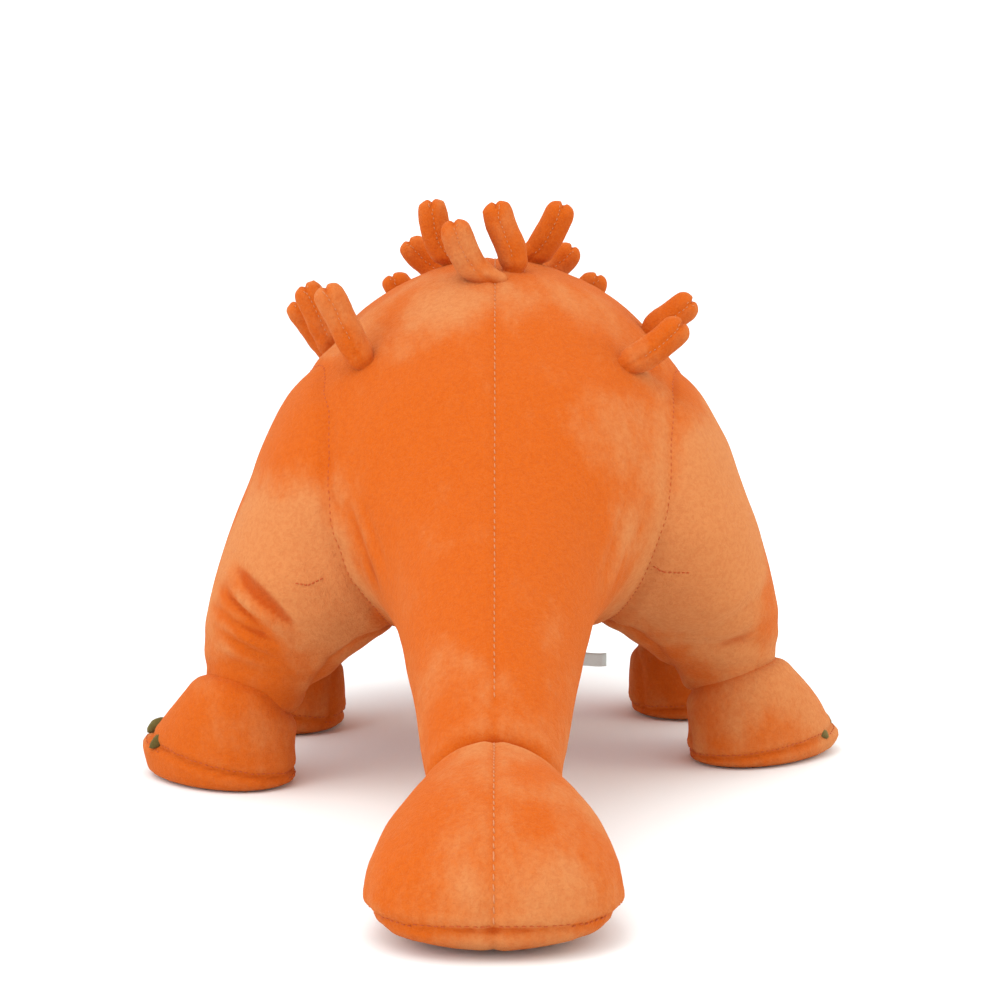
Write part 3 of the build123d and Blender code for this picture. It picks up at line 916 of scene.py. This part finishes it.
def make_foot(foot, leg, row, name, side, seed):
    toe, cross = foot_axes(foot, side)
    key = f"{row}_{name}"
    rings = []
    for z, long_share, wide_share, back in FOOT_RINGS:
        centre = foot_middle(foot, side, z) - toe * back * MM
        rings.append(level_ring(centre, toe * (foot["length"] * long_share - 1.5) * MM,
                                cross * (foot["width"] * wide_share - 1.5) * MM))
    bag = even_mesh(closed_form(f"{key}_shoe", rings), 3.5 * MM, 3)
    point, normal = (np.array(item) for item in sole_plane(foot, side))
    gap = inner_gap(leg, side)

    def held(co):
        return np.clip(hill((co - point) @ normal, 3 * MM) + (co[:, 2] < 2.5 * MM), 0, 1)

    def shape(co, outward):
        away = (co - point) @ normal
        ahead = (co - np.array(foot_middle(foot, side))) @ np.array(toe)
        lip = hill(away + 5 * MM, 5 * MM) * fade(ahead, 0.2 * foot["length"] * MM, 0.9 * foot["length"] * MM)
        heel = seam(co, gap(co), 1.1 * MM, 1.7 * MM, seed + 3) * (ahead < 0) * (away > 0)
        free = fade(co[:, 2], 1.5 * MM, 5 * MM)
        return (seam(co, away, 1.6 * MM, 1.7 * MM, seed) + lumps(co, seed + 2) + lip * 3.5 * MM + heel) * free

    stuff(bag, held, swell=2.5 * MM)
    press(bag, shape)
    sew_down(bag, leg_trees[key], 1.5 * MM, 3 * MM)
    co = coordinates(bag.data)
    drop = co[:, 2].min() - 0.2 * MM
    co[:, 2] = np.maximum(co[:, 2] - drop * (1 - fade(co[:, 2], 8 * MM, 30 * MM)), 0.2 * MM)
    set_coordinates(bag.data, co)
    tree = tree_of(bag)
    upper = cut_panel(bag, f"{key}_foot", [(Vector(point), Vector(normal))])
    finish(upper, ORANGE, "orange_plush", f"{key}_foot_upper")
    sole = cut_panel(bag, f"{key}_foot_sole", [(Vector(point), -Vector(normal))])
    finish(sole, ORANGE, "orange_plush", f"{key}_sole")
    path = []
    for step in range(0, 361, 5):
        turn = math.radians(step)
        out = toe * math.cos(turn) * foot["length"] * MM + cross * math.sin(turn) * foot["width"] * MM
        spot = Vector(point) + out * 1.02
        path.append(spot - UP * ((spot - Vector(point)).dot(Vector(normal)) / normal[2]))
    stitches = stitch_row(f"{key}_sole_stitches", path, tree, ORANGE_THREAD, 3.2, 2.1, 0.34)
    made = [upper, sole, stitches]
    for number, angle in enumerate(CLAW_ANGLES):
        turn = math.radians(angle)
        out = (toe * math.cos(turn) + cross * math.sin(turn)).normalized()
        reach = 1 / math.hypot(math.cos(turn) / foot["length"], math.sin(turn) / foot["width"])
        base = Vector(point) + out * (reach - 6.5) * MM
        base -= UP * ((base - Vector(point)).dot(Vector(normal)) / normal[2] - 3.2 * MM)
        made.append(claw(f"{key}_claw_{number + 1}", base, (out - UP * 0.45).normalized(), 4.2 * MM))
    for piece in made:
        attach(piece, f"{key}_leg")
    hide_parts(f"{key}_claws")
    bpy.data.objects.remove(bag)


for foot, leg, row in ((REAR_FOOT, REAR, "rear"), (FRONT_FOOT, FRONT, "front")):
    for name, side in SIDES:
        make_foot(foot, leg, row, name, side, 61 + 5 * side + (row == "rear"))
print("feet sewn")

# %% [markdown]
# The club is a fat drop at the end of the tail, sewn from a left and a right upper panel and a base. The
# crease where the tail enters it comes from the two bags pressing on each other.

# %% Tail club
CLUB_RINGS = (          # (y, top z, bottom z, half width, power above, power below, height of widest line)
    (203, 60, 26, 18, 2, 2, 42), (206, 65, 20, 26, 2, 2, 42), (212, 68, 14, 31, 1.95, 2.1, 40),
    (222, 69.5, 8, 37, 1.9, 2.2, 34), (236, 69.5, 3, 44.5, 1.85, 2.3, 28), (252, 68, 1, 51, 1.8, 2.4, 24),
    (270, 65, 0, 54.5, 1.8, 2.4, 22), (288, 60, 0, 55, 1.85, 2.4, 20), (304, 53, 0, 50, 1.9, 2.3, 19),
    (316, 45, 2, 40, 1.95, 2.2, 18), (323, 37, 6, 28, 2, 2, 18), (327, 30, 11, 14, 2, 2, 19),
)
CLUB_SEAM_POINT = Vector((0, 270, 13.5)) * MM


def make_club():
    rings = [upright_ring(*ring, inset=1.5) for ring in CLUB_RINGS]
    club = even_mesh(closed_form("club_bag", rings), 4.0 * MM, 3)
    level = CLUB_SEAM_POINT.z

    def held(co):
        centre = hill(co[:, 0], 2.5 * MM) * (co[:, 2] > level)
        return np.clip(hill(co[:, 2] - level, 3 * MM) + centre + (co[:, 2] < 2 * MM), 0, 1)

    def shape(co, outward):
        centre = seam(co, co[:, 0], 0.8 * MM, seed=31)
        base = seam(co, co[:, 2] - level, 1.9 * MM, seed=32) * fade(co[:, 1], 0.213, 0.225)
        return (centre + base + lumps(co, 33, 1.1 * MM)) * fade(co[:, 2], 1.5 * MM, 5 * MM)

    stuff(club, held, swell=2.5 * MM)
    press(club, shape)
    tree = tree_of(club)
    sew_down(club, body_tree, 2.5 * MM, 4 * MM)
    sew_down(body, tree, 2.5 * MM, 4 * MM)
    co = coordinates(club.data)
    co[:, 2] = np.maximum(co[:, 2], 0.2 * MM)
    set_coordinates(club.data, co)
    tree = tree_of(club)
    above = (CLUB_SEAM_POINT, UP)
    made = []
    for name, side in (("left", LEFT), ("right", RIGHT)):
        panel = cut_panel(club, f"club_{name}", [above, (MIDDLE, side)])
        made.append(finish(panel, ORANGE, "orange_plush", f"club_panel_{name}"))
    base = cut_panel(club, "club_underside", [(CLUB_SEAM_POINT, -UP)])
    made.append(finish(base, ORANGE, "orange_plush", "club_base", "club_stuffing"))
    over = [(0, y * MM, z * MM) for y, z in ((212, 75), (225, 80), (250, 80), (280, 72), (305, 60), (322, 45),
                                            (332, 28), (332, 15))]
    made.append(stitch_row("club_back_stitches", over, tree, PEACH_THREAD, slant=0.12, across=ACROSS))
    around = []
    for step in range(-150, 151, 4):
        turn = math.radians(step)
        around.append((math.sin(turn) * 0.056, 0.268 + math.cos(turn) * 0.062, level))
    made.append(stitch_row("club_base_stitches", around, tree, ORANGE_THREAD, 3.3, 2.2, 0.34))
    for piece in made:
        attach(piece, "tail_club")
    bpy.data.objects.remove(club)


make_club()
print("club sewn")

# %% [markdown]
# The head is kept plain and friendly: a rounded wedge with a blunt snout, sewn from a crown and a chin.
# The eyes are drawn back into the filling by a thread through the head, which makes the sockets, and
# the cheeks and brow puff out round them.

# %% Neck and head
NECK_RINGS = ((-196, 158, 94, 30), (-204, 163, 89, 36), (-226, 164, 88, 37), (-246, 163, 89, 37),
              (-258, 158, 92, 32), (-264, 150, 100, 24))
HEAD_RINGS = (          # (y, top z, bottom z, half width)
    (-239, 156, 98, 32), (-245, 164, 88, 43), (-257, 169, 82, 50), (-273, 168, 79, 53), (-288, 159, 77.5, 49),
    (-300, 147, 77, 42.5), (-311, 135, 78, 35), (-320, 125, 81, 26), (-327, 115, 89, 14),
)
MOUTH_Z = 104.0
EYES = ((43, -293, 129), (-43, -293, 129))
HORN_ROOT, HORN_AIM, HORN_LENGTH = (44, -266, 110), (1, 0.25, -0.35), 27


def face_shape(co, outward):
    shape = lumps(co, 44, 0.6 * MM)
    shape += seam(co, co[:, 0], 0.9 * MM, seed=42) * fade(co[:, 2], 0.107, 0.111)
    mouth = (MOUTH_Z + 5 * fade(np.abs(co[:, 0]), 0.024, 0.044)) * MM
    shape += seam(co, co[:, 2] - mouth, 1.6 * MM, 1.8 * MM, seed=43)
    for x, y, z in EYES:
        for offset, width, rise in (((0, 0, 0), 8.5, -2.6), ((-1, 6, 15), 11, 2.6), ((0, 2, -16), 12, 2.8)):
            spot = np.array((x + math.copysign(1, x) * offset[0], y + offset[1], z + offset[2])) * MM
            shape += rise * MM * hill(np.linalg.norm(co - spot, axis=1), width * MM)
    for x in (9, -9):
        spot = np.array((x, -321, 117)) * MM
        shape -= 1.5 * MM * hill(np.linalg.norm(co - spot, axis=1), 3.2 * MM)
    return shape


def make_neck():
    neck = even_mesh(closed_form("neck", [upright_ring(*ring) for ring in NECK_RINGS]), 4 * MM, 4)
    stuff(neck, nothing_held, swell=2 * MM)
    press(neck, lambda co, outward: lumps(co, 41) + np.sin(co[:, 1] / (3.2 * MM)) * 0.5 * MM)
    sew_down(neck, body_tree, 1.5 * MM, 3 * MM)
    sew_down(body, tree_of(neck), 1.5 * MM, 3 * MM)
    finish(neck, ORANGE, "orange_plush", "neck_sleeve", "neck_stuffing")
    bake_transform(neck)


def make_horn(name, side, tree):
    root = Vector((side * HORN_ROOT[0], HORN_ROOT[1], HORN_ROOT[2])) * MM
    aim = Vector((side * HORN_AIM[0], HORN_AIM[1], HORN_AIM[2])).normalized()
    across = aim.cross(UP).normalized()
    rings = []
    for share, width in ((-0.15, 8.5), (0.05, 10.5), (0.25, 10), (0.45, 8.8), (0.62, 7.4), (0.77, 6.0),
                         (0.88, 4.6), (0.96, 3.0), (1.0, 1.4)):
        centre = root + aim * share * HORN_LENGTH * MM + UP * (share * share * 5 * MM)
        rings.append(level_ring(centre, across * width * MM, across.cross(aim) * width * 0.9 * MM))
    horn = finer(even_mesh(closed_form(name, rings), 2.4 * MM, 2))
    base = np.array(root)
    press(horn, lambda co, outward: seam(co, (co - base) @ np.array(across), 0.8 * MM, 1.2 * MM, 46))
    sew_down(horn, tree, 1.2 * MM, 2.5 * MM)
    finish(horn, ORANGE, "orange_plush", "cheek_horns")
    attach(horn, "head")


def make_head():
    rings = [upright_ring(*ring, inset=1.5) for ring in HEAD_RINGS]
    head = even_mesh(closed_form("head_bag", rings), 4.0 * MM, 4)

    def held(co):
        centre = hill(co[:, 0], 2.5 * MM) * (co[:, 2] > MOUTH_Z * MM)
        return np.clip(centre + hill(co[:, 2] - MOUTH_Z * MM, 3 * MM), 0, 1)

    stuff(head, held, swell=2.5 * MM)
    press(head, face_shape)
    tree = tree_of(head)
    made = [finish(cut_panel(head, "head_cover", []), ORANGE, "orange_plush", "head_crown", "head_chin",
                   "head_stuffing", "face_stitching")]
    smile = []
    for step in range(-46, 47, 2):
        x = step * 1.0
        curl = 5 * float(fade(abs(x) * MM, 0.024, 0.044)) + 1.6 * float(fade(abs(x) * MM, 0.036, 0.046))
        smile.append(Vector((x * 0.98, -338 + 0.020 * x * x, MOUTH_Z + curl)) * MM)
    made.append(stitch_row("smile", smile, tree, DARK_THREAD, 2.3, 2.9, 0.55, lift=0.2))
    for name, x in (("left", 9), ("right", -9)):
        across = [Vector((x - 2.2, -332, 116.4)) * MM, Vector((x + 2.2, -332, 117.8)) * MM]
        made.append(stitch_row(f"{name}_nostril", across, tree, DARK_THREAD, 0.9, 1.1, 1.3, lift=0.2))
    for piece in made:
        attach(piece, "head")
    for name, side in SIDES:
        make_horn(f"{name}_cheek_horn", side, tree)
    bpy.data.objects.remove(head)


make_neck()
make_head()
print("head sewn")

# %% [markdown]
# With every neighbour sewn on, the body bag is cut into its panels. The thread of the centre seam is the
# pale one, and it follows the cloth from the rump to the club.

# %% Cut the body and tail panels
TAIL_CUT = Vector((0, 106, 96)) * MM
TAIL_ALONG = Vector((0, 0.85, -0.53)).normalized()


def cut_body():
    above, below = (BELLY_POINT, BELLY_NORMAL), (BELLY_POINT, -BELLY_NORMAL)
    front, behind = (TAIL_CUT, -TAIL_ALONG), (TAIL_CUT, TAIL_ALONG)
    for name, side in (("left", LEFT), ("right", RIGHT)):
        back = cut_panel(body, f"back_{name}", [above, front, (MIDDLE, side)])
        finish(back, ORANGE, "orange_plush", f"back_panel_{name}")
        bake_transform(back)
        tail = cut_panel(body, f"tail_{name}", [behind, (MIDDLE, side)])
        finish(tail, ORANGE, "orange_plush", "tail_tip_panels", "tail_tip_stuffing")
        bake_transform(tail)
    belly = cut_panel(body, "belly", [below, front])
    finish(belly, ORANGE, "orange_plush", "belly_panel", "torso_stuffing", "tail_root_panels",
           "tail_root_stuffing")
    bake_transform(belly)


def back_stitches():
    tree = tree_of(body)
    line = [Vector((0, station[0], station[1] + 6)) * MM for station in BODY_RINGS[2:-2]]
    split = next(index for index, point in enumerate(line) if point.y > TAIL_CUT.y)
    before, after = line[split - 1], line[split]
    meet = before.lerp(after, (TAIL_CUT.y - before.y) / (after.y - before.y))
    rows = (("back_stitches", line[:split] + [meet], "root"), ("tail_stitches", [meet] + line[split:], "tip"))
    for name, path, key in rows:
        row = stitch_row(name, path, tree, PEACH_THREAD, slant=0.12, across=ACROSS)
        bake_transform(row)
        print(name, len(row.data.polygons) // 20, "stitches")
    darts = (("left_dart", [(96, 40, 108), (90, 45, 107), (82, 48, 111)], "rear_left"),
             ("right_dart", [(-75, 40, 110), (-84, 36, 107), (-96, 30, 109)], "rear_right"))
    for name, path, key in darts:
        tree = tree_of(legs[key])
        row = stitch_row(name + "_stitches", [Vector(point) * MM for point in path], tree, ORANGE_THREAD,
                         2.4, 1.9, 0.42)
        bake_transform(row)


cut_body()
back_stitches()

# %% [markdown]
# The spikes are turned cloth fingers: two panels sewn together, filled, and caught in a seam of the back
# at their narrow root. The seam runs up the front and leaves a small notch at the tip.

# %% Spikes
SPIKE_RADIUS = 8.0
SPIKES = {              # name: four (x, z) points in mm that pull the finger's line from root to tip
    "back_spike_1_left": ((-6, 247), (12, 250), (18, 266), (21, 281)),
    "back_spike_1_right": ((-7, 244), (-15, 263), (-3, 268), (0, 290)),
    "back_spike_2_left": ((4, 252), (30, 256), (31, 268), (33, 290)),
    "back_spike_2_right": ((-4, 252), (-24, 257), (-28, 270), (-36, 288)),
    "back_spike_3_left": ((6, 244), (30, 246), (40, 256), (47, 267)),
    "back_spike_3_right": ((-4, 244), (-28, 246), (-36, 254), (-42, 264)),
    "back_spike_4_left": ((22, 220), (42, 230), (52, 234), (57, 247)),
    "back_spike_4_right": ((-22, 220), (-42, 230), (-52, 234), (-56, 247)),
    "side_spike_1_left": ((62, 208), (72, 222), (76, 236), (84, 250)),
    "side_spike_1_right": ((-60, 207), (-73, 214), (-82, 221), (-93, 232)),
    "side_spike_2_left": ((78, 204), (87, 220), (88, 232), (98, 247)),
    "side_spike_2_right": ((-74, 216), (-84, 226), (-92, 232), (-102, 239)),
    "side_spike_3_left": ((80, 200), (92, 214), (98, 224), (106, 236)),
    "side_spike_3_right": ((-76, 204), (-84, 216), (-90, 222), (-98, 231)),
}
SPIKE_STEPS = 28
PIVOTS = {joint["child"]: Vector(joint["pos_m"]) for joint in frame["joints"]}


def finger_line(points, y):
    """Bent line through the pull of four points, leaning a little towards the tail."""
    line = []
    for step in range(SPIKE_STEPS + 1):
        t = step / SPIKE_STEPS
        shares = ((1 - t) ** 3, 3 * t * (1 - t) ** 2, 3 * t * t * (1 - t), t ** 3)
        x = sum(share * point[0] for share, point in zip(shares, points))
        z = sum(share * point[1] for share, point in zip(shares, points))
        line.append(Vector((x * MM, y + (t - 0.3) * 5 * MM, z * MM)))
    return line


def finger_radius(share, length, radius, waist):
    """A little narrower at the sewn root, full along the finger, blunt at the tip."""
    root = waist + (1 - waist) * min(1.0, share / 0.45) ** 0.9
    left = (1 - share) * length
    blunt = max(0.0, 1 - max(0.0, 1 - left / radius) ** 2.6) ** (1 / 2.6)
    return radius * root * max(blunt, 0.05)


def make_spike(name, seed):
    pivot = PIVOTS[name + "_body"]
    line = finger_line(SPIKES[name], pivot.y)
    length = sum((b - a).length for a, b in zip(line, line[1:]))
    rings, travelled = [], 0.0
    for index, point in enumerate(line):
        ahead = line[min(index + 1, SPIKE_STEPS)] - line[max(index - 1, 0)]
        side = ahead.cross(Vector((0, 1, 0))).normalized()
        rise = side.cross(ahead).normalized()
        waist = 0.72 if name.startswith("back") else 0.88
        size = finger_radius(travelled / length, length, SPIKE_RADIUS * MM, waist)
        rings.append(level_ring(point, side * size, rise * size * 0.94))
        if index < SPIKE_STEPS:
            travelled += (line[index + 1] - point).length
    finger = finer(even_mesh(closed_form(name + "_finger", rings), 2.2 * MM, 2))
    spots = np.array([tuple(point) for point in line])
    sides = np.array([tuple(ring[1].normalized()) for ring in rings])

    def shape(co, outward):
        nearest = np.argmin(np.linalg.norm(co[:, None, :] - spots[None, :, :], axis=2), axis=1)
        across = np.sum((co - spots[nearest]) * sides[nearest], axis=1)
        share = nearest / SPIKE_STEPS
        depth = 0.6 * MM + 1.3 * MM * fade(share, 0.88, 1.0)
        groove = -depth * hill(across, 1.1 * MM)
        rumple = wobble(co, 8 * MM, seed) * 0.8 * MM * (1 - fade(share, 0.35, 0.75))
        return groove + rumple + wobble(co, 15 * MM, seed + 3) * 0.7 * MM

    press(finger, shape)
    sew_down(finger, body_tree, 1.0 * MM, 2.2 * MM)
    finish(finger, ORANGE, "orange_plush", name)
    front = [point + Vector((0, SPIKE_RADIUS * MM, 0)) for point in line[10:]]
    row = stitch_row(name + "_stitches", front, tree_of(finger), PEACH_THREAD, 2.6, 1.7, 0.26)
    for piece in (finger, row):
        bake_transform(piece)


for number, name in enumerate(SPIKES):
    make_spike(name, 51 + 3 * number)
print("spikes", len(SPIKES))

# %% [markdown]
# The care label is a short satin ribbon, folded once and caught in the belly seam. It is blank here.

# %% Care label
LABEL_PLACE = Vector((-47, 16, 69)) * MM
LABEL_WIDTH, LABEL_DROP = 16.0, 6.5


def care_label():
    """Folded ribbon: down at the front, round the fold, up at the back."""
    bm = bmesh.new()
    bmesh.ops.create_grid(bm, x_segments=6, y_segments=22, size=0.5)
    for vert in bm.verts:
        across, walk = vert.co.x * LABEL_WIDTH, (vert.co.y + 0.5)
        turn = (walk - 0.5) * 2
        depth = -LABEL_DROP * (1 - abs(turn) ** 2.5) + math.sin(across * 0.35) * 0.35
        vert.co = LABEL_PLACE + Vector((across, turn * 0.9 + math.sin(across * 0.3) * 0.5, depth)) * MM
    bmesh.ops.recalc_face_normals(bm, faces=bm.faces)
    mesh = bpy.data.meshes.new("care_ribbon")
    bm.to_mesh(mesh)
    bm.free()
    ribbon = bpy.data.objects.new("care_ribbon", mesh)
    bpy.context.collection.objects.link(ribbon)
    solid = ribbon.modifiers.new("cloth", "SOLIDIFY")
    solid.thickness = 0.3 * MM
    apply_modifiers(ribbon)
    finish(ribbon, RIBBON, "label_ribbon", "care_label", fill=None)
    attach(ribbon, "torso")


care_label()

# %% Repaint the small CAD pieces that stay as they are
PAINTED = {"eyes": (EYE, "eye_plastic"), "eye_washers": (WASHER, "washer_plastic")}
for node, (paint, slot) in PAINTED.items():
    frame["nodes"][node].data.materials.clear()
    frame["nodes"][node].data.materials.append(paint)

# %% Remove the uncut body bag and list the CAD nodes still shown
for bag in (body,):
    bpy.data.objects.remove(bag)
shown = [name for name, node in frame["nodes"].items() if not node.hide_render]
print("CAD nodes still shown:", shown)
